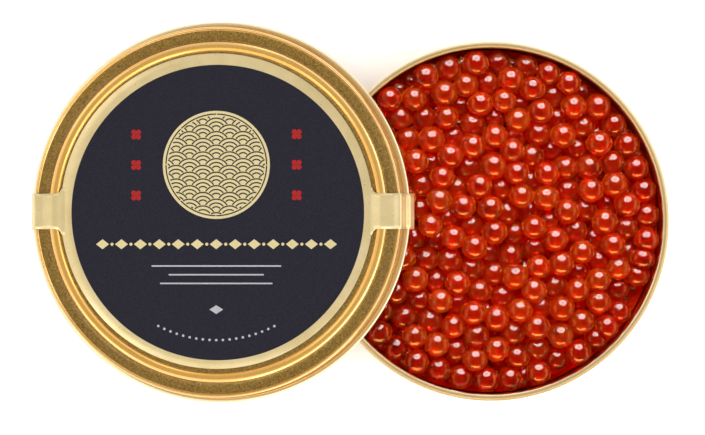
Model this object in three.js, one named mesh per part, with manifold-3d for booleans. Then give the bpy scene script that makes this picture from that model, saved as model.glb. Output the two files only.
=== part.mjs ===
// Soy-marinated salmon roe in a shallow gold tin, with the tin's own lid leaning on its rim.
// Units are millimetres and +Z is up. The origin is the centre of the tin's flat bottom, which
// stands on the table. The lid lies to the left, at -X, on the table and on the rim.
import * as THREE from 'three';
import { mergeVertices } from 'three/addons/utils/BufferGeometryUtils.js';
import Module from 'manifold-3d';

// The tin is a drawn cup of thin sheet, its edge rolled outwards into a bead.
const TIN = {
  rimRadius: 41.5,
  height: 18,
  beadRadius: 0.8,
  sheet: 0.5,
  cornerRadius: 1.6,
};

// The lid is a shallow cap. Its panel is sunk between a raised ring and an edge ridge, and its
// skirt ends in a curl that is the widest part, rolled through the angles given in degrees.
const LID = {
  height: 8,
  sheet: 0.5,
  panelDepth: 0.8,
  curlReach: 43.9,
  curlRadius: 0.7,
  curlFrom: -120,
  curlTo: 150,
  skirtRadius: 42.5,
  ridgeWidth: 0.55,
  grooveSlope: 0.5,
  ringRadius: 38.1,
  ringHalfWidth: 1.25,
};

// How the lid lies beside the tin, seen from above, and the rounds in which its tilt is found.
const LEAN = {
  alongX: -61.9,
  alongY: 2.0,
  rounds: 12,
};

// The label is a round sticker with two tabs that run over the lid's edge and down its skirt.
// A tab leaves the panel at its foot, meets the raised ring at its shoulder, and bends over the
// curl through the angles given in degrees.
const LABEL = {
  radius: 36.2,
  offsetX: -0.2,
  offsetY: 0.25,
  thickness: 0.3,
  tabWidth: 8.2,
  tabOffsetY: 0.2,
  tabOverlap: 2.5,
  tabFoot: 36.04,
  tabShoulderDrop: 0.15,
  tabCurlFrom: 85,
  tabCurlTo: 25,
  leftTail: 0.35,
  rightTail: 0.85,
};

// The roe is a bed of round eggs, level with the rim and a little higher in the middle.
const ROE = {
  eggs: 375,
  eggRadius: 2.92,
  radiusSpread: 0.2,
  bedFloor: 6.4,
  bedTop: 18.4,
  crown: 1,
  coreTop: 13.6,
  shownAbove: 13.7,
  seed: 12,
};

// How the eggs are shaken down: sweeps that let them sink a little and push apart.
const SETTLING = {
  sweeps: 80,
  sink: 0.2,
  push: 0.35,
  scatter: 4,
};

const GAP = 0.3;
const WELD = 0.0001;
const ROUND_SIDES = 48;
const STEPS = { corner: 2, bead: 7, curl: 6, ridge: 3, ring: 4, ringUnder: 2, tabCurl: 2 };
const EGG_SIDES = 6;
const EGG_BANDS = 4;
const GOLDEN_ANGLE = 2.399963;
const DEGREE = Math.PI / 180;

const gold = new THREE.MeshStandardMaterial({ color: 0xd2a862, metalness: 1, roughness: 0.28 });
const goldPaper = new THREE.MeshStandardMaterial({ color: 0xe2d0a0, metalness: 0.3, roughness: 0.4 });
const roeRed = new THREE.MeshStandardMaterial({ color: 0xa42a14, metalness: 0, roughness: 0.12 });

const wasm = await Module();
wasm.setup();

function point(radius, height) {
  return new THREE.Vector2(radius, height);
}

// Points on a circular arc in the plane of radius and height, its angles in degrees.
function arc(centreRadius, centreHeight, radius, from, to, steps) {
  return Array.from({ length: steps + 1 }, (_, i) => {
    const angle = (from + ((to - from) * i) / steps) * DEGREE;
    return point(
      centreRadius + radius * Math.cos(angle),
      centreHeight + radius * Math.sin(angle),
    );
  });
}

// A profile turned about the Z axis. It starts and ends on the axis, underside first.
function turned(profile) {
  return new THREE.LatheGeometry(profile, ROUND_SIDES).rotateX(Math.PI / 2);
}

function tinInnerRadius() {
  return TIN.rimRadius - 2 * TIN.beadRadius;
}

function tinGeometry() {
  const inner = tinInnerRadius();
  const outer = inner + TIN.sheet;
  const beadCentre = TIN.rimRadius - TIN.beadRadius;
  const beadHeight = TIN.height - TIN.beadRadius;
  const wallMeetsBead = -Math.acos((outer - beadCentre) / TIN.beadRadius) / DEGREE;
  const corner = TIN.cornerRadius;
  return turned([
    point(0, 0),
    ...arc(outer - corner, corner, corner, -90, 0, STEPS.corner),
    ...arc(beadCentre, beadHeight, TIN.beadRadius, wallMeetsBead, 180, STEPS.bead),
    point(inner, corner),
    point(inner - corner + TIN.sheet, TIN.sheet),
    point(0, TIN.sheet),
  ]);
}

// The raised ring of the lid as an arc of a circle, inset by the sheet for its underside.
function lidRing(inset, footHeight, from, to, steps) {
  const rise = LID.panelDepth;
  const half = LID.ringHalfWidth;
  const radius = (half * half + rise * rise) / (2 * rise);
  const centreHeight = LID.height - radius;
  const foot = Math.asin((footHeight - centreHeight) / (radius - inset)) / DEGREE;
  const angle = (side) => (side < 0 ? 180 - foot : foot);
  return arc(LID.ringRadius, centreHeight, radius - inset, angle(from), angle(to), steps);
}

function lidUnderside() {
  const under = LID.height - LID.panelDepth - LID.sheet;
  const wall = LID.skirtRadius - LID.sheet;
  return [
    point(0, under),
    ...lidRing(LID.sheet, under, -1, 1, STEPS.ringUnder),
    point(wall - LID.sheet, under),
    point(wall, under - LID.sheet),
    point(wall, LID.curlRadius),
  ];
}

function lidEdge() {
  const curlCentre = LID.curlReach - LID.curlRadius;
  const ridge = LID.ridgeWidth / 2;
  const ridgeCentre = LID.skirtRadius - ridge;
  return [
    ...arc(
      curlCentre,
      LID.curlRadius,
      LID.curlRadius,
      LID.curlFrom,
      LID.curlTo,
      STEPS.curl,
    ),
    point(LID.skirtRadius, 2 * LID.curlRadius),
    ...arc(ridgeCentre, LID.height - ridge, ridge, 0, 180, STEPS.ridge),
  ];
}

function lidTop() {
  const panel = LID.height - LID.panelDepth;
  const grooveEdge = LID.skirtRadius - LID.ridgeWidth - LID.grooveSlope;
  return [
    point(grooveEdge, panel),
    ...lidRing(0, panel, 1, -1, STEPS.ring),
    point(0, panel),
  ];
}

function lidGeometry() {
  return turned([...lidUnderside(), ...lidEdge(), ...lidTop()]);
}

// The middle line of a tab in the plane of radius and height: from the label over the raised
// ring, straight to the edge ridge, down the skirt, and out over the curl to its free tail.
function tabLine(tail) {
  const clear = GAP + LABEL.thickness / 2;
  const panel = LID.height - LID.panelDepth + clear;
  const top = LID.height + clear;
  const ridge = LID.ridgeWidth / 2;
  const curlCentre = LID.curlReach - LID.curlRadius;
  return [
    point(LABEL.radius - LABEL.tabOverlap, panel),
    point(LABEL.tabFoot, panel),
    point(LID.ringRadius - LID.ringHalfWidth, top - LABEL.tabShoulderDrop),
    point(LID.ringRadius, top),
    ...arc(LID.skirtRadius - ridge, LID.height - ridge, ridge + clear, 90, 0, STEPS.ridge),
    ...arc(
      curlCentre,
      LID.curlRadius,
      LID.curlRadius + clear,
      LABEL.tabCurlFrom,
      LABEL.tabCurlTo,
      STEPS.tabCurl,
    ),
    point(LID.curlReach + tail, LID.curlRadius),
  ];
}

// Unit normals of a line of points, each square to the way between its two neighbours.
function normalsOf(line) {
  return line.map((_, i) => {
    const before = line[Math.max(i - 1, 0)];
    const after = line[Math.min(i + 1, line.length - 1)];
    const along = after.clone().sub(before).normalize();
    return point(-along.y, along.x);
  });
}

// A strip of even thickness that follows a line in the XZ plane, its width along Y.
function stripGeometry(line, thickness, width) {
  const normals = normalsOf(line);
  const side = (sign) =>
    line.map((p, i) => p.clone().addScaledVector(normals[i], (sign * thickness) / 2));
  const outline = new THREE.Shape([...side(-1), ...side(1).reverse()]);
  return new THREE.ExtrudeGeometry(outline, { depth: width, bevelEnabled: false })
    .rotateX(Math.PI / 2)
    .translate(0, width / 2, 0);
}

function labelGeometry() {
  const rise = LID.height - LID.panelDepth + GAP + LABEL.thickness / 2;
  const disc = new THREE.CylinderGeometry(
    LABEL.radius,
    LABEL.radius,
    LABEL.thickness,
    ROUND_SIDES,
  )
    .rotateX(Math.PI / 2)
    .translate(LABEL.offsetX, LABEL.offsetY, rise);
  const tab = (tail) => stripGeometry(tabLine(tail), LABEL.thickness, LABEL.tabWidth);
  const right = tab(LABEL.rightTail).translate(0, LABEL.tabOffsetY, 0);
  const left = tab(LABEL.leftTail).rotateZ(Math.PI).translate(0, LABEL.tabOffsetY, 0);
  return joined([disc, right, left]);
}

function solidOf(geometry) {
  const bare = geometry.clone();
  bare.deleteAttribute('normal');
  bare.deleteAttribute('uv');
  const merged = mergeVertices(bare, WELD);
  return new wasm.Manifold(
    new wasm.Mesh({
      numProp: 3,
      vertProperties: new Float32Array(merged.attributes.position.array),
      triVerts: new Uint32Array(merged.index.array),
    }),
  );
}

// One closed body from several overlapping ones. Its largest piece is kept, so a pocket sealed
// between them is filled.
function joined(geometries) {
  const [first, ...others] = geometries.map(solidOf);
  const whole = others.reduce((sum, solid) => sum.add(solid), first);
  const pieces = whole.decompose();
  const largest = pieces.reduce((best, piece) => (piece.volume() > best.volume() ? piece : best));
  const mesh = largest.getMesh();
  const geometry = new THREE.BufferGeometry();
  geometry.setAttribute('position', new THREE.BufferAttribute(mesh.vertProperties, 3));
  geometry.setIndex(new THREE.BufferAttribute(mesh.triVerts, 1));
  geometry.computeVertexNormals();
  return geometry;
}

// A repeatable run of numbers from 0 to 1, each worked out from the one before.
function seededDraws(seed) {
  const step = { times: 1664525, plus: 1013904223, wrap: 4294967296 };
  let state = seed;
  return () => {
    state = (state * step.times + step.plus) % step.wrap;
    return state / step.wrap;
  };
}

function bedRadius() {
  return tinInnerRadius() - GAP;
}

// Eggs spread evenly over the tin on a sunflower spiral, each shifted by chance and at any depth.
function looseEggs() {
  const draw = seededDraws(ROE.seed);
  return Array.from({ length: ROE.eggs }, (_, i) => {
    const radius = ROE.eggRadius + ROE.radiusSpread * (draw() + draw() - 1);
    const reach = (bedRadius() - radius) * Math.sqrt((i + 0.5) / ROE.eggs);
    const angle = i * GOLDEN_ANGLE;
    const centre = new THREE.Vector3(
      reach * Math.cos(angle) + SETTLING.scatter * (draw() - 0.5),
      reach * Math.sin(angle) + SETTLING.scatter * (draw() - 0.5),
      ROE.bedFloor + radius + draw() * (ROE.bedTop - ROE.bedFloor - 2 * radius),
    );
    return { radius, centre };
  });
}

// How far one egg is pushed by all those that press into it.
function pushOn(egg, eggs) {
  const push = new THREE.Vector3();
  const apart = new THREE.Vector3();
  for (const other of eggs) {
    const distance = apart.subVectors(egg.centre, other.centre).length();
    const pressed = egg.radius + other.radius - distance;
    if (other !== egg && pressed > 0) {
      push.addScaledVector(apart, (SETTLING.push * pressed) / distance);
    }
  }
  return push;
}

// Keeps an egg inside the wall and between the bottom of the bed and its low, crowned top.
function holdInTin({ centre, radius }) {
  const limit = bedRadius() - radius;
  const reach = Math.hypot(centre.x, centre.y);
  const held = Math.min(reach, limit);
  centre.x *= held / reach;
  centre.y *= held / reach;
  const top = ROE.bedTop + ROE.crown * (1 - (held / bedRadius()) ** 2);
  centre.z = Math.min(Math.max(centre.z, ROE.bedFloor + radius), top - radius);
}

function settledEggs() {
  const eggs = looseEggs();
  for (let sweep = 0; sweep < SETTLING.sweeps; sweep += 1) {
    const sink = SETTLING.sink * (1 - sweep / SETTLING.sweeps);
    eggs.forEach((egg) => { egg.centre.z -= sink; });
    const pushes = eggs.map((egg) => pushOn(egg, eggs));
    eggs.forEach((egg, i) => {
      egg.centre.add(pushes[i]);
      holdInTin(egg);
    });
  }
  return eggs;
}

function eggGeometry({ centre, radius }) {
  return new THREE.SphereGeometry(radius, EGG_SIDES, EGG_BANDS)
    .rotateX(Math.PI / 2)
    .translate(centre.x, centre.y, centre.z);
}

// The bed below the eggs that show, clear of the tin's floor and wall.
function roeCore() {
  const reach = bedRadius();
  const bottom = TIN.sheet + GAP;
  const corner = TIN.cornerRadius;
  return turned([
    point(0, bottom),
    point(reach - corner, bottom),
    point(reach, bottom + corner),
    point(reach, ROE.coreTop - corner / 2),
    point(reach - corner / 2, ROE.coreTop),
    point(0, ROE.coreTop + ROE.crown),
  ]);
}

function roeGeometry() {
  const shown = settledEggs().filter((egg) => egg.centre.z > ROE.shownAbove);
  return joined([roeCore(), ...shown.map(eggGeometry)]);
}

// The tilt at which the curl lies on the table and, at two points, on the rim of the tin. Both
// depend on where the two circles cross, so a few rounds settle it.
function leanTilt() {
  const spacing = Math.hypot(LEAN.alongX, LEAN.alongY);
  const curl = LID.curlReach - LID.curlRadius;
  const rim = TIN.rimRadius - TIN.beadRadius;
  let tilt = 0;
  for (let round = 0; round < LEAN.rounds; round += 1) {
    const crossing = (spacing ** 2 + curl ** 2 - rim ** 2) / (2 * spacing * Math.cos(tilt));
    tilt = Math.asin((TIN.height + GAP) / (curl + crossing));
  }
  return tilt;
}

// A group whose own frame is the lid's: its middle on the plane that the curl rests on. It tilts
// about the level line square to the way towards the tin, so the label's tabs stay level.
function leaningGroup(...meshes) {
  const tilt = leanTilt();
  const curl = LID.curlReach - LID.curlRadius;
  const tiltAxis = new THREE.Vector3(LEAN.alongY, -LEAN.alongX, 0).normalize();
  const group = new THREE.Group();
  group.position.set(
    LEAN.alongX,
    LEAN.alongY,
    curl * Math.sin(tilt) + LID.curlRadius * (1 - Math.cos(tilt)),
  );
  group.quaternion.setFromAxisAngle(tiltAxis, -tilt);
  group.add(...meshes);
  return group;
}

function named(name, geometry, material) {
  const mesh = new THREE.Mesh(geometry, material);
  mesh.name = name;
  return mesh;
}

const part = new THREE.Group();
part.add(
  named('tin', tinGeometry(), gold),
  named('roe', roeGeometry(), roeRed),
  leaningGroup(
    named('lid', lidGeometry(), gold),
    named('lid_label', labelGeometry(), goldPaper),
  ),
);

export default part;
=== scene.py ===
from math import acos, asin, cos, degrees, hypot, pi, radians, sin

import bpy
import numpy as np
from mathutils import Matrix, Vector


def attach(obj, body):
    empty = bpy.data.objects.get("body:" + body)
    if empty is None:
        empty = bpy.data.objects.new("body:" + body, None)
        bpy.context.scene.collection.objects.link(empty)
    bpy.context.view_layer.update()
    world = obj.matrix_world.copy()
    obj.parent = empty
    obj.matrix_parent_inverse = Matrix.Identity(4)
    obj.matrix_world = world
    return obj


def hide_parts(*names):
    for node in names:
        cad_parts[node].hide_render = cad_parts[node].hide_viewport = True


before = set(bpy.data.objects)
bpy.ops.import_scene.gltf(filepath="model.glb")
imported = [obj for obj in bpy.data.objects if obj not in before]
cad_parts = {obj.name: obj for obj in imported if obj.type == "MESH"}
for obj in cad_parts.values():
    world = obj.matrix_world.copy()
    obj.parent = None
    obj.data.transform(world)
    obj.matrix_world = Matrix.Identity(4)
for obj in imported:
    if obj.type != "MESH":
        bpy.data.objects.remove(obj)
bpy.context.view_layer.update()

# The tin.
# A shallow cup, drawn from one disc of tinplate that is lacquered gold on both sides. Its foot
# is a narrow ring round a bottom panel that is pressed up a little. Its edge is curled outwards
# into a bead, painted paler on the side turned to the light and darker and duller on the side
# turned away: painted light and shade.

MM = 0.001
HAIR = 0.01
TURN_STEPS = 192
TIN_HEIGHT = 18.0
RIM_RADIUS = 41.5
BEAD_RADIUS = 0.8
SHEET = 0.5
TIN_CORNER = 1.6
FOOT_RING = (35.6, 37.2)
FOOT_DEPTH = 0.4
FOOT_ROUND = 0.2
FOOT_TREAD = 1.0
WALL_LEVELS = (6.0, 11.0)
LACQUER_GOLD = (0.90, 0.62, 0.25, 1)
LACQUER_DEEP = (0.82, 0.50, 0.15, 1)
GOLD_PAINTED_PALE = (0.76, 0.60, 0.36, 1)
GOLD_PAINTED_DEEP = (0.80, 0.44, 0.09, 1)
DULL_AND_SHADE_DARK = (0.09, 0.050, 0.005, 1)
DULL_AND_SHADE_PALE = (0.39, 0.225, 0.028, 1)
PRESSED_ROUGHNESS = 0.2
BEAD_DULL_SHADE = 0.38
BEAD_SHADE_SPREAD = 0.62
BEAD_PAINTED_PALE = 0.6
BEAD_SHADED_WAY = (0.5, -0.87)


def arc(centre_radius, centre_height, radius, start, end, steps):
    """Points of a circle about (centre radius, centre height), from start to end degrees."""
    angle = np.radians(np.linspace(start, end, steps + 1))
    return np.stack([
        centre_radius + radius * np.cos(angle),
        centre_height + radius * np.sin(angle),
    ], axis=1)


def build_piece(name, points, faces, smooth=True):
    """One mesh object at the origin, from points in millimetres and a list of faces."""
    mesh = bpy.data.meshes.new(name)
    mesh.from_pydata((np.asarray(points) * MM).tolist(), [], faces)
    mesh.polygons.foreach_set("use_smooth", np.full(len(mesh.polygons), smooth))
    mesh.update()
    piece = bpy.data.objects.new(name, mesh)
    bpy.context.scene.collection.objects.link(piece)
    return piece


def turned(profile, steps=TURN_STEPS):
    """A profile of (radius, height) carried round Z: x = radius cos turn, y = radius sin turn.

    The profile starts and ends on the axis, underside first, and each end closes in one pole.
    """
    profile = np.vstack(profile)
    radius, height = profile[1:-1, 0], profile[1:-1, 1]
    turn = np.linspace(0, 2 * pi, steps, endpoint=False)
    rings = np.stack([
        np.outer(radius, np.cos(turn)),
        np.outer(radius, np.sin(turn)),
        np.repeat(height[:, None], steps, axis=1),
    ], axis=2)
    poles = [(0, 0, profile[0, 1]), (0, 0, profile[-1, 1])]
    points = np.vstack([rings.reshape(-1, 3), poles])
    here = np.arange(steps)
    there = (here + 1) % steps
    row = np.arange(len(radius) - 1)[:, None] * steps
    walls = np.stack([row + here, row + there, row + steps + there, row + steps + here], axis=2)
    bottom_pole, top_pole = len(points) - 2, len(points) - 1
    last = (len(radius) - 1) * steps
    bottom = np.stack([np.full(steps, bottom_pole), there, here], axis=1)
    top = np.stack([np.full(steps, top_pole), last + here, last + there], axis=1)
    return points, [*walls.reshape(-1, 4).tolist(), *bottom.tolist(), *top.tolist()]


def paint(piece, name, values):
    """Stores one number for each point of a piece, for its material to read by name."""
    layer = piece.data.attributes.new(name, "FLOAT", "POINT")
    layer.data.foreach_set("value", np.asarray(values, dtype=np.float32))


def new_material(name):
    """A material with its Principled shader, and the list of nodes to add to."""
    material = bpy.data.materials.new(name)
    material.use_nodes = True
    return material, material.node_tree.nodes["Principled BSDF"], material.node_tree


def set_inputs(node, **values):
    """Sets a node's inputs by name. Underscores in a name stand for spaces."""
    for name, value in values.items():
        node.inputs[name.replace("_", " ")].default_value = value


def add_node(tree, kind, **values):
    """A node with its inputs set by name."""
    node = tree.nodes.new(kind)
    set_inputs(node, **values)
    return node


def blend_colours(tree, factor, low, high):
    """A colour between low and high. Each is a constant or the output of another node."""
    node = tree.nodes.new("ShaderNodeMix")
    node.data_type = "RGBA"
    tree.links.new(factor, node.inputs["Factor"])
    for socket, colour in (("A", low), ("B", high)):
        target = next(s for s in node.inputs if s.name == socket and s.type == "RGBA")
        if isinstance(colour, tuple):
            target.default_value = colour
        else:
            tree.links.new(colour, target)
    return next(s for s in node.outputs if s.type == "RGBA")


def remap(tree, value, low, high, to_low=0.0, to_high=1.0):
    """The value carried from low..high to to_low..to_high, held at the ends."""
    node = add_node(
        tree, "ShaderNodeMapRange",
        From_Min=low, From_Max=high, To_Min=to_low, To_Max=to_high,
    )
    tree.links.new(value, node.inputs["Value"])
    return node.outputs["Result"]


def multiplied(tree, first, second):
    """The product of two masks."""
    node = tree.nodes.new("ShaderNodeMath")
    node.operation = "MULTIPLY"
    tree.links.new(first, node.inputs[0])
    tree.links.new(second, node.inputs[1])
    return node.outputs["Value"]


def read_attribute(tree, name):
    """The numbers that were painted on the piece under that name."""
    node = tree.nodes.new("ShaderNodeAttribute")
    node.attribute_name = name
    return node.outputs["Fac"]


def grain_group():
    """Even grain and slow cloudiness on Object coordinates, as two masks and a height."""
    group = bpy.data.node_groups.new("surface_grain", "ShaderNodeTree")
    group.interface.new_socket("Grain Scale", in_out="INPUT", socket_type="NodeSocketFloat")
    group.interface.new_socket("Cloud Scale", in_out="INPUT", socket_type="NodeSocketFloat")
    group.interface.new_socket("Grain", in_out="OUTPUT", socket_type="NodeSocketFloat")
    group.interface.new_socket("Cloud", in_out="OUTPUT", socket_type="NodeSocketFloat")
    ends = group.nodes.new("NodeGroupInput"), group.nodes.new("NodeGroupOutput")
    place = group.nodes.new("ShaderNodeTexCoord").outputs["Object"]
    for mask, detail in (("Grain", 4.0), ("Cloud", 2.0)):
        noise = add_node(group, "ShaderNodeTexNoise", Detail=detail, Roughness=0.6)
        group.links.new(place, noise.inputs["Vector"])
        group.links.new(ends[0].outputs[mask + " Scale"], noise.inputs["Scale"])
        spread = remap(group, noise.outputs["Fac"], 0.3, 0.7)
        group.links.new(spread, ends[1].inputs[mask])
    return group


surface_grain = grain_group()


def add_grain(tree, grain_scale, cloud_scale):
    """The grain group placed in a material, with its own scales, per metre."""
    node = tree.nodes.new("ShaderNodeGroup")
    node.node_tree = surface_grain
    node.inputs["Grain Scale"].default_value = grain_scale
    node.inputs["Cloud Scale"].default_value = cloud_scale
    return node.outputs["Grain"], node.outputs["Cloud"]


def link_bump(tree, shader, height, strength, distance):
    """Tilts the shader's normal by the slope of a height mask, scaled to metres."""
    bump = add_node(tree, "ShaderNodeBump", Strength=strength, Distance=distance)
    tree.links.new(height, bump.inputs["Height"])
    tree.links.new(bump.outputs["Normal"], shader.inputs["Normal"])


def gold_lacquer():
    """Gold lacquer on tinplate: clear and glossy, dull and grainy where pressed; it takes painted
    light and shade.
    """
    material, shader, tree = new_material("gold_lacquer")
    set_inputs(shader, Metallic=1.0, Coat_Weight=0.8, Coat_Roughness=0.15)
    grain, cloud = add_grain(tree, grain_scale=2600.0, cloud_scale=70.0)
    pressed = read_attribute(tree, "pressed")
    clear = blend_colours(tree, cloud, LACQUER_GOLD, LACQUER_DEEP)
    # Painted highlight and painted shade: pale where a piece is painted paler, deep orange where
    # it is painted deeper.
    clear = blend_colours(tree, read_attribute(tree, "painted_pale"), clear, GOLD_PAINTED_PALE)
    clear = blend_colours(tree, read_attribute(tree, "painted_deep"), clear, GOLD_PAINTED_DEEP)
    # The pressed mask gives real dull grain on the lid, and painted shade on the tin's bead.
    dull_and_shade = blend_colours(tree, grain, DULL_AND_SHADE_DARK, DULL_AND_SHADE_PALE)
    tree.links.new(blend_colours(tree, pressed, clear, dull_and_shade), shader.inputs["Base Color"])
    rough = tree.nodes.new("ShaderNodeMath")
    rough.operation = "MULTIPLY_ADD"
    rough.inputs[1].default_value = PRESSED_ROUGHNESS
    tree.links.new(pressed, rough.inputs[0])
    tree.links.new(remap(tree, cloud, 0, 1, to_low=0.22, to_high=0.28), rough.inputs[2])
    tree.links.new(rough.outputs["Value"], shader.inputs["Roughness"])
    height = multiplied(tree, grain, remap(tree, pressed, 0, 1, to_low=0.06, to_high=1.0))
    link_bump(tree, shader, height, strength=0.6, distance=0.00012)
    return material


tin_wall = RIM_RADIUS - 2 * BEAD_RADIUS
tin_outside = tin_wall + SHEET
bead_centre = RIM_RADIUS - BEAD_RADIUS
bead_start = -degrees(acos((tin_outside - bead_centre) / BEAD_RADIUS))
inner_corner = TIN_CORNER - SHEET
points, faces = turned([
    [(0, FOOT_DEPTH), (FOOT_RING[0], FOOT_DEPTH)],
    arc(FOOT_RING[0], FOOT_ROUND, FOOT_ROUND, 90, 45, 3),
    arc(FOOT_RING[1] - FOOT_TREAD, FOOT_ROUND, FOOT_ROUND, 225, 270, 3),
    arc(tin_outside - TIN_CORNER, TIN_CORNER, TIN_CORNER, -90, 0, 8),
    [(tin_outside, level) for level in WALL_LEVELS],
    arc(bead_centre, TIN_HEIGHT - BEAD_RADIUS, BEAD_RADIUS, bead_start, 180, 20),
    [(tin_wall, level) for level in reversed(WALL_LEVELS)],
    arc(tin_wall - inner_corner, TIN_CORNER + FOOT_DEPTH, inner_corner, 0, -90, 6),
    [(FOOT_RING[1], SHEET + FOOT_DEPTH), (0, SHEET + FOOT_DEPTH)],
])
tin = build_piece("tin_cup", points, faces)
gold = gold_lacquer()
tin.data.materials.append(gold)
from_axis = np.hypot(points[:, 0], points[:, 1])
on_bead = (points[:, 2] > TIN_HEIGHT - 2 * BEAD_RADIUS) & (from_axis > tin_wall + HAIR)
# Painted light and shade: the bead's faces are painted darker and duller the more they turn
# away from the light, and paler the more they turn to it.
outward = (from_axis - bead_centre) / BEAD_RADIUS
away = outward * (points[:, :2] @ BEAD_SHADED_WAY) / RIM_RADIUS
paint(tin, "pressed", np.clip(BEAD_DULL_SHADE + BEAD_SHADE_SPREAD * away, 0, 1) * on_bead)
paint(tin, "painted_pale", np.clip(BEAD_PAINTED_PALE - away, 0, 1) * on_bead)
paint(tin, "painted_deep", np.zeros(len(points)))
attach(tin, "root")
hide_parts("tin")

# The marinade and the deeper roe.
# Below the eggs that show, the tin is full of more eggs in a dark soy marinade. They are one
# body, low enough for the second layer to show too, and give the deep red of the gaps. The
# marinade creeps up a little at the wall, and a band along the wall is painted paler and
# browner: painted light, lifting the shade there.

BED_WALL = 39.6
MARINADE_BOTTOM = 1.3
MARINADE_TOP = 11.6
MARINADE_RINGS = (34, 14, 0)
CREEP = ((0.0, 1.0), (0.3, 0.5), (1.2, 0.0))
WALL_BAND = 1.5
MARINADE_RED = (0.48, 0.006, 0.0003, 1)
MARINADE_DARK = (0.28, 0.003, 0.0001, 1)
MARINADE_PAINTED_LIGHT = (0.42, 0.014, 0.002, 1)

points, faces = turned([
    [(0, MARINADE_BOTTOM)],
    arc(BED_WALL - TIN_CORNER, MARINADE_BOTTOM + TIN_CORNER, TIN_CORNER, -90, 0, 6),
    [(BED_WALL - inset, MARINADE_TOP + rise) for inset, rise in CREEP],
    [(reach, MARINADE_TOP) for reach in MARINADE_RINGS],
], steps=96)
marinade = build_piece("marinade", points, faces)
paint(marinade, "at_wall", np.hypot(points[:, 0], points[:, 1]) > BED_WALL - WALL_BAND)
material, shader, tree = new_material("soy_marinade")
set_inputs(shader, Roughness=0.4, Specular_IOR_Level=0.0)
grain, cloud = add_grain(tree, grain_scale=700.0, cloud_scale=160.0)
colour = blend_colours(tree, cloud, MARINADE_DARK, MARINADE_RED)
# Painted light: a band along the wall is painted paler and browner, lifting the shade there.
colour = blend_colours(tree, read_attribute(tree, "at_wall"), colour, MARINADE_PAINTED_LIGHT)
tree.links.new(colour, shader.inputs["Base Color"])
link_bump(tree, shader, grain, strength=0.5, distance=0.0006)
marinade.data.materials.append(material)
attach(marinade, "root")
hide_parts("roe")

# The eggs.
# Each is a soft, clear ball of amber oil and red yolk in a thin wet skin, 5.6 to 6.4 mm across.
# They are spooned in loose and settle into a heap, pressed a little flat where they touch. More
# of them lie lower, in the hollows near the wall.

EGGS = 375
EGG_RADIUS = 2.92
EGG_SPREAD = 0.2
BED_FLOOR = 6.4
BED_TOP = 18.4
BED_CROWN = 1.0
GOLDEN_ANGLE = 2.399963
SWEEPS = 80
SCATTER = 4.0
SINK = 0.2
PUSH = 0.35
DRAW_FACTOR, DRAW_STEP, DRAW_RANGE = 1664525, 1013904223, 2**32
DRAW_SEED = 12
SHAPE_SEED = 5
CONTACT_GAP = 0.012
LEAST_FACING = 0.2
EGG_SWELL = 1.03
HOLLOW_PLACES = ((36.6, 15.4), (36.6, 12.4), (31.5, 12.4))
HOLLOW_TRIES = 240
HOLLOW_SPACING = 3.6
BURIED_BELOW = 11.0
EGG_SIDES = 3
FAR_SIDE = (0.0, -0.9, -0.436)
LIT_FROM = 12.0
LIT_RISE = 4.0
WALL_SHADE_REACH = 9.0
LEAST_ORANGE = 0.3
YOLK_LIFT = 1.4
YOLK_EDGE = 0.75
YOLK_SHARE = 0.5
EGG_RED = (0.84, 0.016, 0.0003, 1)
EGG_ORANGE = (0.96, 0.11, 0.001, 1)
EGG_FAR_GLOW = (1.0, 0.19, 0.004, 1)
EGG_GLINT = (1.0, 0.62, 0.03, 1)
EGG_YOLK = (0.42, 0.008, 0.0004, 1)
ABSORPTION = (0.985, 0.42, 0.0, 1)


def seeded_draws(seed, count):
    """A repeatable run of numbers from 0 to 1.

    Each state is the one before, times the factor, plus the step, within the range.
    """
    values = np.empty(count)
    state = seed
    for k in range(count):
        state = (state * DRAW_FACTOR + DRAW_STEP) % DRAW_RANGE
        values[k] = state / DRAW_RANGE
    return values


def settled_eggs():
    """Centres and radii of the heap, by the same rule as the solid roe.

    Eggs start on a sunflower spiral, each shifted by chance and at any depth. In each sweep they
    sink, push apart where they overlap, and are held inside the wall and the bed's crowned top.
    """
    draws = seeded_draws(DRAW_SEED, 5 * EGGS).reshape(EGGS, 5)
    radius = EGG_RADIUS + EGG_SPREAD * (draws[:, 0] + draws[:, 1] - 1)
    order = np.arange(EGGS)
    reach = (BED_WALL - radius) * np.sqrt((order + 0.5) / EGGS)
    turn = order * GOLDEN_ANGLE
    centre = np.stack([
        reach * np.cos(turn) + SCATTER * (draws[:, 2] - 0.5),
        reach * np.sin(turn) + SCATTER * (draws[:, 3] - 0.5),
        BED_FLOOR + radius + draws[:, 4] * (BED_TOP - BED_FLOOR - 2 * radius),
    ], axis=1)
    touch = radius[:, None] + radius
    for sweep in range(SWEEPS):
        centre[:, 2] -= SINK * (1 - sweep / SWEEPS)
        apart = centre[:, None] - centre
        distance = np.linalg.norm(apart, axis=2)
        np.fill_diagonal(distance, np.inf)
        pressed = np.clip(touch - distance, 0, None)
        centre += (apart * (PUSH * pressed / distance)[..., None]).sum(axis=1)
        reach = np.hypot(centre[:, 0], centre[:, 1])
        held = np.minimum(reach, BED_WALL - radius)
        centre[:, :2] *= (held / reach)[:, None]
        top = BED_TOP + BED_CROWN * (1 - (held / BED_WALL) ** 2)
        centre[:, 2] = np.clip(centre[:, 2], BED_FLOOR + radius, top - radius)
    return centre, radius


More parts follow.
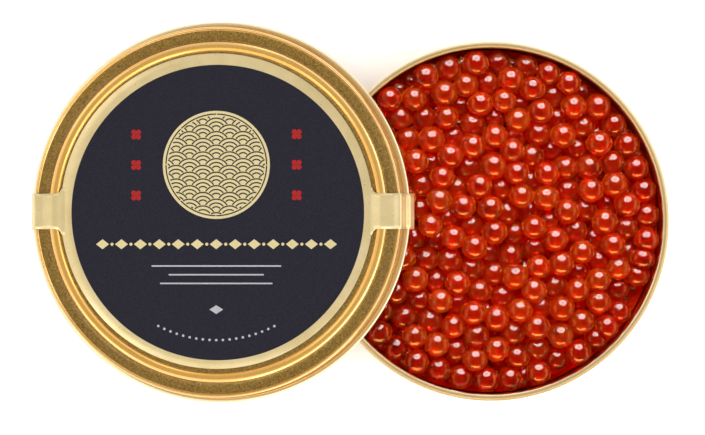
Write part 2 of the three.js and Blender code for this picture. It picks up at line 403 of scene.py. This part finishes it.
def nestled(centre, radius):
    """The heap with more eggs set lower, into the hollows between those that stand out.

    Places are tried one by one round each circle, which has a reach from the axis and a
    height. An egg goes in where the centre of every egg that stands out is farther off than
    the spacing. Buried eggs do not count.
    """
    for reach, height in HOLLOW_PLACES:
        for turn in np.linspace(0, 2 * pi, HOLLOW_TRIES, endpoint=False):
            place = np.array([reach * cos(turn), reach * sin(turn), height])
            standing = centre[centre[:, 2] > BURIED_BELOW]
            if np.linalg.norm(standing - place, axis=1).min() > HOLLOW_SPACING:
                centre = np.vstack([centre, place])
                radius = np.append(radius, EGG_RADIUS)
    return centre, radius


def ball_form(sides):
    """Directions and faces of a cube's grid swollen to a ball, its squares made even by tan."""
    steps = np.arange(sides + 1)
    lattice = np.stack(np.meshgrid(steps, steps, steps, indexing="ij"), axis=-1).reshape(-1, 3)
    lattice = lattice[((lattice == 0) | (lattice == sides)).any(axis=1)]
    index = {tuple(p): i for i, p in enumerate(lattice.tolist())}
    faces = []
    for axis, end, a, b in np.ndindex(3, 2, sides, sides):
        ring = [(a, b), (a + 1, b), (a + 1, b + 1), (a, b + 1)]
        corners = np.empty((4, 3), int)
        corners[:, axis] = end * sides
        corners[:, (axis + 1) % 3] = [u for u, _ in ring]
        corners[:, (axis + 2) % 3] = [v for _, v in ring]
        face = [index[tuple(c)] for c in corners.tolist()]
        faces.append(face if end else face[::-1])
    ways = np.tan((lattice / sides * 2 - 1) * pi / 4)
    return ways / np.linalg.norm(ways, axis=1)[:, None], np.array(faces)


def random_turns(random, count):
    """Rotation matrices from random unit quaternions."""
    w, x, y, z = (q := random.normal(size=(4, count))) / np.linalg.norm(q, axis=0)
    rows = [
        [1 - 2 * (y * y + z * z), 2 * (x * y - w * z), 2 * (x * z + w * y)],
        [2 * (x * y + w * z), 1 - 2 * (x * x + z * z), 2 * (y * z - w * x)],
        [2 * (x * z - w * y), 2 * (y * z + w * x), 1 - 2 * (x * x + y * y)],
    ]
    return np.moveaxis(np.array(rows), 2, 0)


def pressed_reach(centre, radius, ways):
    """How far each egg's skin lies from its centre along each of its ways.

    It is the radius, but no more than the distance to the plane midway to each neighbour, divided
    by the cosine between the way and that plane's normal.
    """
    apart = centre[None] - centre[:, None]
    distance = np.linalg.norm(apart, axis=2)
    np.fill_diagonal(distance, np.inf)
    unequal = (radius[:, None] ** 2 - radius**2) / distance
    plane = 0.5 * (distance + unequal) - CONTACT_GAP
    plane[~np.isfinite(distance)] = np.inf
    facing = np.einsum("epi,eni->epn", ways, apart / distance[..., None])
    reach = plane[:, None] / np.maximum(facing, LEAST_FACING)
    limit = np.where(facing > LEAST_FACING, reach, np.inf)
    return np.minimum(radius[:, None], limit.min(axis=2))


def egg_material():
    """Clear balls that take up green and blue light, with a warm glow at the skin.

    The skin is red to orange by each egg's random tone and painted light and shade, painted amber
    as a glow on the side away from the window, with a painted yellow crescent of light at its edge
    strongest in some, and dark red over the yolk.
    """
    material, shader, tree = new_material("egg_skin")
    set_inputs(
        shader, Roughness=0.06, IOR=1.2, Transmission_Weight=0.80,
        Subsurface_Weight=1.0, Subsurface_Radius=(1.0, 0.25, 0.08), Subsurface_Scale=0.006,
        Coat_Weight=1.0, Coat_Roughness=0.03, Coat_IOR=1.56,
        Sheen_Weight=0.6, Sheen_Roughness=0.28, Sheen_Tint=(1.0, 0.22, 0.004, 1),
    )
    _, cloud = add_grain(tree, grain_scale=900.0, cloud_scale=260.0)
    far_side = read_attribute(tree, "far_side")
    # Red to orange by each egg's painted light and shade and its random tone.
    skin = blend_colours(tree, read_attribute(tree, "tone_and_light"), EGG_RED, EGG_ORANGE)
    # Painted glow on the side away from the window, and a painted yellow crescent of light at its
    # edge.
    skin = blend_colours(tree, remap(tree, far_side, -0.2, 0.9), skin, EGG_FAR_GLOW)
    crescent = multiplied(tree, remap(tree, far_side, 0.5, 0.85), read_attribute(tree, "egg_chance"))
    skin = blend_colours(tree, crescent, skin, EGG_GLINT)
    yolk = blend_colours(tree, read_attribute(tree, "yolk"), skin, EGG_YOLK)
    tree.links.new(yolk, shader.inputs["Base Color"])
    link_bump(tree, shader, cloud, strength=0.35, distance=0.0006)
    volume = add_node(tree, "ShaderNodeVolumeAbsorption", Color=ABSORPTION, Density=520.0)
    tree.links.new(volume.outputs["Volume"], tree.nodes["Material Output"].inputs["Volume"])
    return material


random = np.random.default_rng(SHAPE_SEED)
centre, radius = nestled(*settled_eggs())
count = len(centre)
ball, ball_faces = ball_form(EGG_SIDES)
ways = np.einsum("eij,pj->epi", random_turns(random, count), ball)
points = centre[:, None] + ways * pressed_reach(centre, EGG_SWELL * radius, ways)[..., None]
faces = ball_faces + np.arange(count)[:, None, None] * len(ball)
eggs = build_piece("roe_eggs", points.reshape(-1, 3), faces.reshape(-1, 4).tolist())
# Painted light: each egg's side away from the window is painted as a glow where light through the
# egg gathers.
far_side = ways @ FAR_SIDE
egg_chance = random.random(count)
from_wall = BED_WALL - np.hypot(centre[:, 0], centre[:, 1])
# Painted light and shade: eggs high in the heap are painted more orange, and deep ones and those
# by the wall redder and darker, each scaled by a random tone.
lit = np.clip((centre[:, 2] - LIT_FROM) / LIT_RISE, 0, 1)
lit = lit * np.clip(from_wall / WALL_SHADE_REACH, 0, 1)
tone_and_light = lit * (LEAST_ORANGE + (1 - LEAST_ORANGE) * egg_chance)
yolk_way = random.normal(size=(count, 3)) + (0, 0, YOLK_LIFT)
yolk_way /= np.linalg.norm(yolk_way, axis=1)[:, None]
near_yolk = np.einsum("epi,ei->ep", ways, yolk_way)
has_yolk = random.random(count) < YOLK_SHARE
yolk = np.clip((near_yolk - YOLK_EDGE) / (1 - YOLK_EDGE), 0, 1) * has_yolk[:, None]
paint(eggs, "far_side", far_side.ravel())
paint(eggs, "egg_chance", np.repeat(egg_chance, len(ball)))
paint(eggs, "tone_and_light", np.repeat(tone_and_light, len(ball)))
paint(eggs, "yolk", yolk.ravel())
eggs.data.materials.append(egg_material())
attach(eggs, "root")
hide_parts("roe")

# The lid.
# A shallow cap of the same lacquered tinplate, pressed in one blow: a sunk panel, a raised
# stacking ring, a grainy groove, a sharp edge ridge, a straight skirt and an outward curl. It
# lies with its curl on the table at the left and on the tin's bead at the right.

LID_HEIGHT = 8.0
PANEL_HEIGHT = 7.2
CURL_REACH = 43.9
CURL_RADIUS = 0.7
SKIRT_RADIUS = 42.5
RIDGE_RADIUS = 0.275
RING_RADIUS = 38.1
RING_HALF = 1.25
GROOVE_RISE = 0.25
GROOVE_ROUND = 0.3
GROOVE_INSET = 0.45
GROOVE_MIDDLE = 40.4
GROOVE_SPAN = (39.3, 41.7)
GROOVE_TOP = 7.75
RECESS_REACH = 37.4
RECESS_TOP = 7.3
PANEL_RINGS = (36.4, 18, 0)
UNDER_RING = 20
UNDER_INSET = 0.9
UNDER_CORNER = 0.5
INNER_LEVEL = 3.5
SKIRT_LEVELS = (4.0, 7.0)
NECK_RADIUS = 0.35
NECK_HEIGHT = 1.45
PALE_FADE = 0.3
DEEP_REACH = 0.8
DEEP_FADE = 0.7
LID_X, LID_Y = -61.9, 2.0
REST_GAP = 0.3
TILT_ROUNDS = 12


def lid_frame():
    """The matrix from the lid's own millimetres to the row frame's, lying at rest.

    The tilt is the one at which the curl's middle line passes over the crossing of the lid's
    circle with the bead's, a sheet gap above the bead. Both depend on the tilt, so a few rounds
    settle it. It tilts about the level line square to the way towards the tin.
    """
    spacing = hypot(LID_X, LID_Y)
    curl = CURL_REACH - CURL_RADIUS
    tilt = 0.0
    for _ in range(TILT_ROUNDS):
        crossing = (spacing**2 + curl**2 - bead_centre**2) / (2 * spacing * cos(tilt))
        tilt = asin((TIN_HEIGHT + REST_GAP) / (curl + crossing))
    rise = curl * sin(tilt) + CURL_RADIUS * (1 - cos(tilt))
    place = Matrix.Translation((LID_X, LID_Y, rise))
    return np.array(place @ Matrix.Rotation(-tilt, 4, Vector((LID_Y, -LID_X, 0)).normalized()))


LID_FRAME = lid_frame()


def on_lid(points):
    """Points of the lid's own frame, carried to where the lid lies."""
    return np.asarray(points) @ LID_FRAME[:3, :3].T + LID_FRAME[:3, 3]


def ring_arc(inset, foot, start_side, steps):
    """The raised ring as an arc of a circle, from one foot to the other."""
    rise = LID_HEIGHT - PANEL_HEIGHT
    radius = (RING_HALF**2 + rise**2) / (2 * rise)
    centre_height = LID_HEIGHT - radius
    angle = degrees(asin((foot - centre_height) / (radius - inset)))
    start, end = (180 - angle, angle) if start_side < 0 else (angle, 180 - angle)
    return arc(RING_RADIUS, centre_height, radius - inset, start, end, steps)


under = PANEL_HEIGHT - SHEET
lid_wall = SKIRT_RADIUS - SHEET
ridge_centre = SKIRT_RADIUS - RIDGE_RADIUS
groove_edge = SKIRT_RADIUS - 2 * RIDGE_RADIUS - GROOVE_INSET
groove_floor = PANEL_HEIGHT + GROOVE_RISE
points, faces = turned([
    [(0, under), (UNDER_RING, under)],
    ring_arc(SHEET, under, -1, 8),
    [(lid_wall - UNDER_INSET, under)],
    arc(lid_wall - UNDER_CORNER, under - UNDER_CORNER, UNDER_CORNER, 90, 0, 5),
    [(lid_wall, INNER_LEVEL), (lid_wall, CURL_RADIUS)],
    arc(CURL_REACH - CURL_RADIUS, CURL_RADIUS, CURL_RADIUS, -150, 150, 16),
    arc(SKIRT_RADIUS + NECK_RADIUS, NECK_HEIGHT, NECK_RADIUS, 235, 180, 4),
    [(SKIRT_RADIUS, level) for level in SKIRT_LEVELS],
    arc(ridge_centre, LID_HEIGHT - RIDGE_RADIUS, RIDGE_RADIUS, 0, 180, 10),
    arc(groove_edge - 2 * HAIR, groove_floor + GROOVE_ROUND, GROOVE_ROUND, -20, -83, 5),
    [(GROOVE_MIDDLE, PANEL_HEIGHT + 0.5 * GROOVE_RISE)],
    ring_arc(0, PANEL_HEIGHT, 1, 20),
    [(reach, PANEL_HEIGHT) for reach in PANEL_RINGS],
])
lid = build_piece("lid_cap", on_lid(points), faces)
lid.data.materials.append(gold)
from_axis = np.hypot(points[:, 0], points[:, 1])
on_top = points[:, 2] > PANEL_HEIGHT - HAIR
in_groove = (from_axis > GROOVE_SPAN[0]) & (from_axis < GROOVE_SPAN[1])
in_groove = in_groove & on_top & (points[:, 2] < GROOVE_TOP)
in_recess = (from_axis < RECESS_REACH) & on_top & (points[:, 2] < RECESS_TOP)
paint(lid, "pressed", (in_groove | in_recess).astype(float))
# Painted highlight: the curl and its neck are painted paler.
paint(lid, "painted_pale", np.clip((from_axis - SKIRT_RADIUS) / PALE_FADE, 0, 1))
# Painted shade: the raised ring's inner half and the recess by it are painted a deeper orange.
on_ring = on_top & (from_axis > RING_RADIUS - RING_HALF)
painted_deep = np.clip((RING_RADIUS + DEEP_REACH - from_axis) / DEEP_FADE, 0, 1)
paint(lid, "painted_deep", painted_deep * on_ring)
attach(lid, "root")
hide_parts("lid")

# The label's paper.
# A round sticker, cut from satin gold paper with two tabs. They are smoothed over the raised
# ring and the edge ridge and down to the curl, to seal the lid, and the right one overhangs.

PAPER = 0.16
PAPER_LIFT = 0.03
LABEL_RADIUS = 36.2
LABEL_ROUND = 0.03
LABEL_RING = 34.0
LABEL_X, LABEL_Y = -0.2, 0.25
TAB_HALF_WIDTH = 4.1
TAB_Y = 0.2
TAB_ROOT = ((33.2, 0.0), (35.4, 0.0), (36.1, 0.12))
TAB_OVER_RING = ((37.3, -0.1), (RING_RADIUS, 0.02), (39.3, -0.2), (40.8, -0.34))
TAB_SKIRT_LEVEL = 2.6
TAIL_SLOPE = 1.6
ROOT_INSET = 0.23
TAB_SUNK = 0.02
TAB_FILLET = 1.4
PAPER_GOLD = (0.68, 0.55, 0.27, 1)
PAPER_PALE = (0.80, 0.66, 0.37, 1)


def smooth_line(corners, step=0.25):
    """A line through the corners that bends softly.

    It is resampled evenly. Then, twice, each point moves to half itself and a quarter of each
    neighbour.
    """
    corners = np.asarray(corners, float)
    length = np.r_[0, np.cumsum(np.hypot(*np.diff(corners, axis=0).T))]
    even = np.linspace(0, length[-1], int(length[-1] / step))
    line = np.stack([np.interp(even, length, corners[:, k]) for k in (0, 1)], axis=1)
    for _ in range(2):
        line[1:-1] = 0.25 * line[:-2] + 0.5 * line[1:-1] + 0.25 * line[2:]
    return line


def tab_line(tail):
    """A tab's middle line in radius and height, half a sheet above what it lies on.

    It starts inside the disc, a hair below its face, and ends in a tail off the curl.
    """
    lift = PAPER_LIFT + PAPER / 2
    start = PANEL_HEIGHT + lift - TAB_SUNK
    curl = CURL_REACH - CURL_RADIUS
    return smooth_line(np.vstack([
        [(reach, start + rise) for reach, rise in TAB_ROOT],
        [(reach, LID_HEIGHT + rise + lift) for reach, rise in TAB_OVER_RING],
        arc(ridge_centre, LID_HEIGHT - RIDGE_RADIUS, RIDGE_RADIUS + lift, 100, 0, 6),
        [(SKIRT_RADIUS + lift, TAB_SKIRT_LEVEL)],
        arc(curl, CURL_RADIUS, CURL_RADIUS + lift, 100, 10, 8),
        [(CURL_REACH + lift + tail, CURL_RADIUS - TAIL_SLOPE * tail)],
    ]))


def sheet_strip(line, half_width, across=9):
    """A closed strip of paper: the line is carried along Y, half a sheet up and half down.

    Its section at each point of the line runs across the top and back across the underside.
    """
    along = np.gradient(line, axis=0)
    along /= np.linalg.norm(along, axis=1)[:, None]
    normal = np.stack([-along[:, 1], along[:, 0]], axis=1) * PAPER / 2
    side = np.linspace(-1, 1, across)
    upper, lower = line + normal, line - normal
    rows = []
    for edge, sides in ((upper, side), (lower, side[::-1])):
        rows.append(np.stack([
            np.repeat(edge[:, :1], across, axis=1),
            half_width[:, None] * sides,
            np.repeat(edge[:, 1:], across, axis=1),
        ], axis=2))
    points = np.concatenate(rows, axis=1)
    around = 2 * across
    here = np.arange(around)
    there = (here + 1) % around
    row = np.arange(len(line) - 1)[:, None] * around
    walls = np.stack([row + here, row + around + here, row + around + there, row + there], axis=2)
    last = (len(line) - 1) * around
    ends = [here.tolist(), (last + here[::-1]).tolist()]
    return points.reshape(-1, 3), [*walls.reshape(-1, 4).tolist(), *ends]


def tab_shape(tail, facing):
    """A tab with a small fillet at each side of its root, turned to face left or right."""
    line = tab_line(tail)
    disc_edge = LABEL_RADIUS - ROOT_INSET + facing * LABEL_X
    from_edge = np.clip(line[:, 0] - disc_edge, 0, TAB_FILLET)
    flare = TAB_FILLET - np.sqrt(TAB_FILLET**2 - (TAB_FILLET - from_edge) ** 2)
    points, faces = sheet_strip(line, TAB_HALF_WIDTH + flare)
    points = points * (facing, facing, 1) + (0, TAB_Y, 0)
    return points, faces


def joined(shapes):
    """Several shapes as one list of points and one of faces."""
    points, faces, start = [], [], 0
    for shape_points, shape_faces in shapes:
        points.append(shape_points)
        faces += [[start + corner for corner in face] for face in shape_faces]
        start += len(shape_points)
    return np.vstack(points), faces


paper_bottom = PANEL_HEIGHT + PAPER_LIFT
paper_top = paper_bottom + PAPER
disc_points, disc_faces = turned([
    [(0, paper_bottom), (LABEL_RADIUS - LABEL_ROUND, paper_bottom)],
    [(LABEL_RADIUS, paper_bottom + LABEL_ROUND), (LABEL_RADIUS, paper_top - LABEL_ROUND)],
    [(LABEL_RADIUS - LABEL_ROUND, paper_top), (LABEL_RING, paper_top), (0, paper_top)],
])
points, faces = joined([
    (disc_points + (LABEL_X, LABEL_Y, 0), disc_faces),
    tab_shape(tail=0.05, facing=-1),
    tab_shape(tail=0.6, facing=1),
])
label = build_piece("label_paper", on_lid(points), faces)
material, shader, tree = new_material("satin_gold_paper")
set_inputs(shader, Metallic=0.6, Specular_IOR_Level=0.4)
grain, cloud = add_grain(tree, grain_scale=3200.0, cloud_scale=130.0)
tree.links.new(blend_colours(tree, cloud, PAPER_GOLD, PAPER_PALE), shader.inputs["Base Color"])
roughness = remap(tree, grain, 0, 1, to_low=0.27, to_high=0.31)
tree.links.new(roughness, shader.inputs["Roughness"])
link_bump(tree, shader, grain, strength=0.08, distance=0.00005)
label.data.materials.append(material)
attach(label, "root")
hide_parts("lid_label")

# The label's print.
# Matt black ink over all but the sticker's edge, and on it a plain ornament in hot foil and red
# ink: a gold disc of wave scales, a row of lozenges, silver rules and small red rosettes.

INK_RADIUS = 33.9
INK_X, INK_Y = 0.25, -0.33
INK_THICK = 0.03
FOIL_THICK = 0.03
MEDALLION_Y = 10.6
MEDALLION_RADIUS = 12.4
SCALE_RADIUS = 3.1
SCALE_ROWS, SCALE_COLUMNS = 18, 9
SCALE_SHARES = (0.96, 0.68, 0.40)
SCALE_CLEAR = 1.02
SCALE_MARGIN = 1.1
SCALE_LINE = 0.3
SCALE_STEP = 3
RING_INSET, RING_LINE = 0.75, 0.28
ROW_Y, ROW_STEP = -7.6, 4.4
LOZENGE_REACH, LOZENGE_SIZE = 26.4, (3.0, 2.3)
DOT_REACH, DOT_RADIUS = 24.2, 0.36
RULES = ((-12.6, 30), (-14.6, 22), (-16.6, 26))
RULE_LINE = 0.34
GARLAND_REACH, GARLAND_DOT = 29.6, 0.3
GARLAND_TURNS = (243, 298, 3)
SILVER_LOZENGE = (0, -22.6, 3.2, 2.0)
ROSETTE_X, ROSETTE_ROWS = 18.6, (3.6, 10.6, 17.6)
ROSETTE_RADIUS = 1.4
INK_BLACK = (0.008, 0.008, 0.014, 1)
INK_GREY = (0.024, 0.023, 0.038, 1)
FOIL_GOLD = (0.91, 0.82, 0.50, 1)
FOIL_DEEP = (0.80, 0.67, 0.34, 1)
FOIL_SILVER = (0.62, 0.62, 0.66, 1)
FOIL_GREY = (0.45, 0.45, 0.5, 1)
RED_INK = (0.42, 0.024, 0.024, 1)
RED_DEEP = (0.30, 0.012, 0.014, 1)


def flat_prisms(outlines, bottom, top):
    """Thin closed plates: each outline in the plane is given an underside, a wall and a face."""
    shapes = []
    for outline in outlines:
        count = len(outline)
        plate = np.vstack([
            np.column_stack([outline, np.full(count, bottom)]),
            np.column_stack([outline, np.full(count, top)]),
        ])
        here = np.arange(count)
        there = (here + 1) % count
        walls = np.stack([here, there, there + count, here + count], axis=1).tolist()
        shapes.append((plate, [here[::-1].tolist(), (here + count).tolist(), *walls]))
    return joined(shapes)


def circle(x, y, radius, count=32):
    """Points evenly round a circle about (x, y)."""
    turn = np.linspace(0, 2 * pi, count, endpoint=False)
    return np.stack([x + radius * np.cos(turn), y + radius * np.sin(turn)], axis=1)


def band(x, y, radius, width, start, end, count=12):
    """A strip of a ring about (x, y), from start to end degrees."""
    turn = np.radians(np.linspace(start, end, count))
    way = np.stack([np.cos(turn), np.sin(turn)], axis=1)
    outer, inner = radius + width / 2, radius - width / 2
    return np.vstack([way * outer, way[::-1] * inner]) + (x, y)


def lozenge(x, y, width, height):
    """The four points of a lozenge about (x, y)."""
    w, h = width / 2, height / 2
    return np.array([(x + w, y), (x, y + h), (x - w, y), (x, y - h)])


def bar(x, y, width, height):
    """The four corners of a bar about (x, y)."""
    w, h = width / 2, height / 2
    return np.array([(x - w, y - h), (x + w, y - h), (x + w, y + h), (x - w, y + h)])


def wave_scales():
    """Overlapping scales of three arcs each, in staggered rows, cut off at the medallion.

    A scale's arc shows only where it lies outside the scales of the two rows below it.
    """
    strips = []
    step = SCALE_RADIUS
    below = np.array([(-step, -step / 2), (step, -step / 2), (0, -step)])
    turn = np.linspace(0, 180, 180 // SCALE_STEP + 1)
    way = np.stack([np.cos(np.radians(turn)), np.sin(np.radians(turn))], axis=1)
    for row, column in np.ndindex(SCALE_ROWS, SCALE_COLUMNS):
        x = (column - SCALE_COLUMNS // 2 + (row % 2) / 2) * 2 * step
        y = (row - SCALE_ROWS // 2) * step / 2
        for share in SCALE_SHARES:
            spot = way * share * step
            from_below = np.linalg.norm(spot[:, None] - below, axis=2)
            clear = (from_below > step * SCALE_CLEAR).all(axis=1)
            inside = np.hypot(*(spot + (x, y)).T) < MEDALLION_RADIUS - SCALE_MARGIN
            seen = turn[clear & inside]
            if len(seen) > 3 and len(seen) == round((seen[-1] - seen[0]) / SCALE_STEP) + 1:
                reach = share * step
                strips.append(band(x, y + MEDALLION_Y, reach, SCALE_LINE, seen[0], seen[-1]))
    return strips


def rosette(x, y, radius):
    """Four round petals about a small middle."""
    petals = [circle(x + radius * 0.55 * cos(a), y + radius * 0.55 * sin(a), radius * 0.42, 16)
              for a in (pi / 4, 3 * pi / 4, 5 * pi / 4, 7 * pi / 4)]
    return [*petals, circle(x, y, radius * 0.2, 12)]


def print_piece(name, outlines, bottom, top, material):
    """One layer of the print as thin plates on the label, kept in the list of all layers."""
    points, faces = flat_prisms(outlines, bottom, top)
    piece = build_piece(name, on_lid(points + (LABEL_X, LABEL_Y, 0)), faces, smooth=False)
    piece.data.materials.append(material)
    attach(piece, "root")
    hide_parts("lid_label")
    label_prints.append(piece)


def print_material(name, low, high, metallic, roughness):
    """Ink or foil: two like colours mixed by the paper's grain, and a roughness that follows."""
    material, shader, tree = new_material(name)
    set_inputs(shader, Metallic=metallic, Specular_IOR_Level=0.12)
    grain, _ = add_grain(tree, grain_scale=4200.0, cloud_scale=90.0)
    tree.links.new(blend_colours(tree, grain, low, high), shader.inputs["Base Color"])
    tree.links.new(remap(tree, grain, 0, 1, *roughness), shader.inputs["Roughness"])
    link_bump(tree, shader, grain, strength=0.35, distance=0.00006)
    return material


ink = print_material("matt_black_ink", INK_BLACK, INK_GREY, metallic=0.0, roughness=(0.5, 0.7))
gold_foil = print_material("gold_foil", FOIL_GOLD, FOIL_DEEP, metallic=1.0, roughness=(0.34, 0.46))
silver_foil = print_material(
    "silver_foil", FOIL_SILVER, FOIL_GREY, metallic=0.8, roughness=(0.35, 0.5))
red_ink = print_material("red_ink", RED_INK, RED_DEEP, metallic=0.0, roughness=(0.4, 0.6))

label_prints = []
ink_top = paper_top + INK_THICK
foil_top = ink_top + FOIL_THICK
ink_disc = circle(INK_X, INK_Y, INK_RADIUS, 192)
print_piece("label_ink", [ink_disc], paper_top - 2 * HAIR, ink_top, ink)
lozenges = [lozenge(x, ROW_Y, *LOZENGE_SIZE)
            for x in np.arange(-LOZENGE_REACH, LOZENGE_REACH + 0.1, ROW_STEP)]
dots = [circle(x, ROW_Y, DOT_RADIUS, 12) for x in np.arange(-DOT_REACH, DOT_REACH + 0.1, ROW_STEP)]
medallion = circle(0, MEDALLION_Y, MEDALLION_RADIUS, 128)
print_piece("label_gold", [medallion, *lozenges, *dots], ink_top - HAIR, foil_top, gold_foil)
ring = [band(0, MEDALLION_Y, MEDALLION_RADIUS - RING_INSET, RING_LINE, a, a + 44, 16)
        for a in range(0, 360, 45)]
print_piece("label_waves", [*wave_scales(), *ring], foil_top - HAIR, foil_top + 2 * HAIR, ink)
rules = [bar(0, y, width, RULE_LINE) for y, width in RULES]
garland = [circle(GARLAND_REACH * cos(a), GARLAND_REACH * sin(a), GARLAND_DOT, 10)
           for a in np.radians(np.arange(*GARLAND_TURNS))]
silver = [*rules, *garland, lozenge(*SILVER_LOZENGE)]
print_piece("label_silver", silver, ink_top - HAIR, foil_top, silver_foil)
rosettes = [shape for side in (-1, 1) for y in ROSETTE_ROWS
            for shape in rosette(side * ROSETTE_X, y, ROSETTE_RADIUS)]
print_piece("label_red", rosettes, ink_top - HAIR, foil_top, red_ink)

# The table, the lamps and the camera.
# A plain pale table top with a wash of its own. A tent of soft panels lights the tin and the
# lid. A window lamp with a dark cap before its middle and low warm cards light the roe. The
# camera looks down on tin and lid from far off.

LAMP_DISTANCE = 0.7
CAP_RADIUS = 60
CAP_GAP = 20
LOW_CARDS = ((-90, 10.0), (0, 2.0), (180, 2.0), (90, 2.0))
SIDE_CARDS = ((0, 9.0), (60, 6.0), (120, 4.2), (180, 5.5), (240, 7.0), (300, 10.5))
WINDOW_LIGHT = (1.0, 0.97, 0.96)
WARM_LIGHT = (1.0, 0.45, 0.08)
TENT_LIGHT = (1.0, 0.98, 0.95)
WASH_LIGHT = (1.0, 1.0, 1.0)
SKY_LIGHT = (1.0, 0.75, 0.5, 1)
TABLE_HALF = 3000
TABLE_WHITE = (0.92, 0.92, 0.92, 1)
TABLE_GREY = (0.88, 0.88, 0.88, 1)
CAMERA_TILT = 7.0
CAMERA_DISTANCE = 1.355
CAMERA_TARGET = (-31.96, 0.83, 14.11)


def way_of(off_axis, turn):
    """The direction that far from upright, and that far round from +X, in degrees."""
    a, t = radians(off_axis), radians(turn)
    return Vector((sin(a) * cos(t), sin(a) * sin(t), cos(a)))


def soft_lamp(name, way, distance, size, power, colour):
    """An elliptical lamp at that distance along a way from the origin, turned back to it."""
    light = bpy.data.lights.new(name, "AREA")
    light.shape = "ELLIPSE"
    light.size, light.size_y = size
    light.energy = power
    light.color = colour
    lamp = bpy.data.objects.new(name, light)
    lamp.location = way * distance
    lamp.rotation_euler = way.to_track_quat("Z", "Y").to_euler()
    lamp.visible_camera = False
    bpy.context.scene.collection.objects.link(lamp)
    return lamp


def light_only(name, lamps, pieces):
    """Lets these lamps light these pieces and no others."""
    lit = bpy.data.collections.new(name)
    for piece in pieces:
        lit.objects.link(piece)
    for lamp in lamps:
        lamp.light_linking.receiver_collection = lit


table_corners = np.array([(-1, -1, 0), (1, -1, 0), (1, 1, 0), (-1, 1, 0)]) * TABLE_HALF
table = build_piece("table_top", table_corners, [[0, 1, 2, 3]], smooth=False)
material, shader, tree = new_material("pale_table")
set_inputs(shader, Roughness=0.6)
_, cloud = add_grain(tree, grain_scale=900.0, cloud_scale=8.0)
tree.links.new(blend_colours(tree, cloud, TABLE_GREY, TABLE_WHITE), shader.inputs["Base Color"])
table.data.materials.append(material)

lamp_way = way_of(50, 90)
window = soft_lamp(
    "window_lamp", lamp_way, LAMP_DISTANCE, size=(0.86, 0.74), power=14.8, colour=WINDOW_LIGHT)
low_cards = [
    soft_lamp("low_card", way_of(74, turn), 0.8, size=(1.1, 0.26), power=power, colour=WARM_LIGHT)
    for turn, power in LOW_CARDS
]
upright = Vector((0, 0, 1))
tent = [
    soft_lamp("overhead_panel", upright, 1.2, size=(1.7, 1.7), power=4.9, colour=TENT_LIGHT),
    *(soft_lamp("side_card", way_of(62, turn), 1.2, size=(1.7, 1.25), power=power,
                colour=TENT_LIGHT) for turn, power in SIDE_CARDS),
]
wash = soft_lamp("table_wash", upright, 1.5, size=(3.0, 3.0), power=36.0, colour=WASH_LIGHT)
light_only("lit_by_tent", tent, (tin, lid, label, *label_prints, table))
light_only("lit_by_wash", [wash], [table])
light_only("lit_by_window", [window, *low_cards], (eggs, marinade))
cap_turn = lamp_way.to_track_quat("Z", "Y").to_matrix()
cap_outline = circle(0, 0, CAP_RADIUS)
cap_points = np.column_stack([cap_outline, np.zeros(len(cap_outline))]) @ np.array(cap_turn).T
cap_points += np.array(lamp_way) * (LAMP_DISTANCE / MM - CAP_GAP)
cap = build_piece("lamp_cap", cap_points, [list(range(len(cap_outline)))], smooth=False)
cap_material, cap_shader, _ = new_material("lamp_cap_black")
set_inputs(cap_shader, Base_Color=(0.01, 0.01, 0.01, 1), Roughness=0.8)
cap.data.materials.append(cap_material)
cap.visible_camera = False

world = bpy.data.worlds.new("studio")
world.use_nodes = True
sky = world.node_tree
height = sky.nodes.new("ShaderNodeSeparateXYZ")
sky.links.new(sky.nodes.new("ShaderNodeTexCoord").outputs["Generated"], height.inputs["Vector"])
sky.nodes["Background"].inputs["Color"].default_value = SKY_LIGHT
sky.links.new(
    remap(sky, height.outputs["Z"], 0.1, 0.75, to_low=0.18, to_high=0.03),
    sky.nodes["Background"].inputs["Strength"],
)
bpy.context.scene.world = world
bpy.context.scene.view_settings.view_transform = "Standard"

lens = bpy.data.cameras.new("camera")
lens.lens = 300
lens.sensor_width = 36
lens.clip_end = 10
camera = bpy.data.objects.new("camera", lens)
camera.location = Vector(CAMERA_TARGET) * MM + way_of(CAMERA_TILT, 180) * CAMERA_DISTANCE
camera.rotation_euler = (0, -radians(CAMERA_TILT), 0)
bpy.context.scene.collection.objects.link(camera)
bpy.context.scene.camera = camera
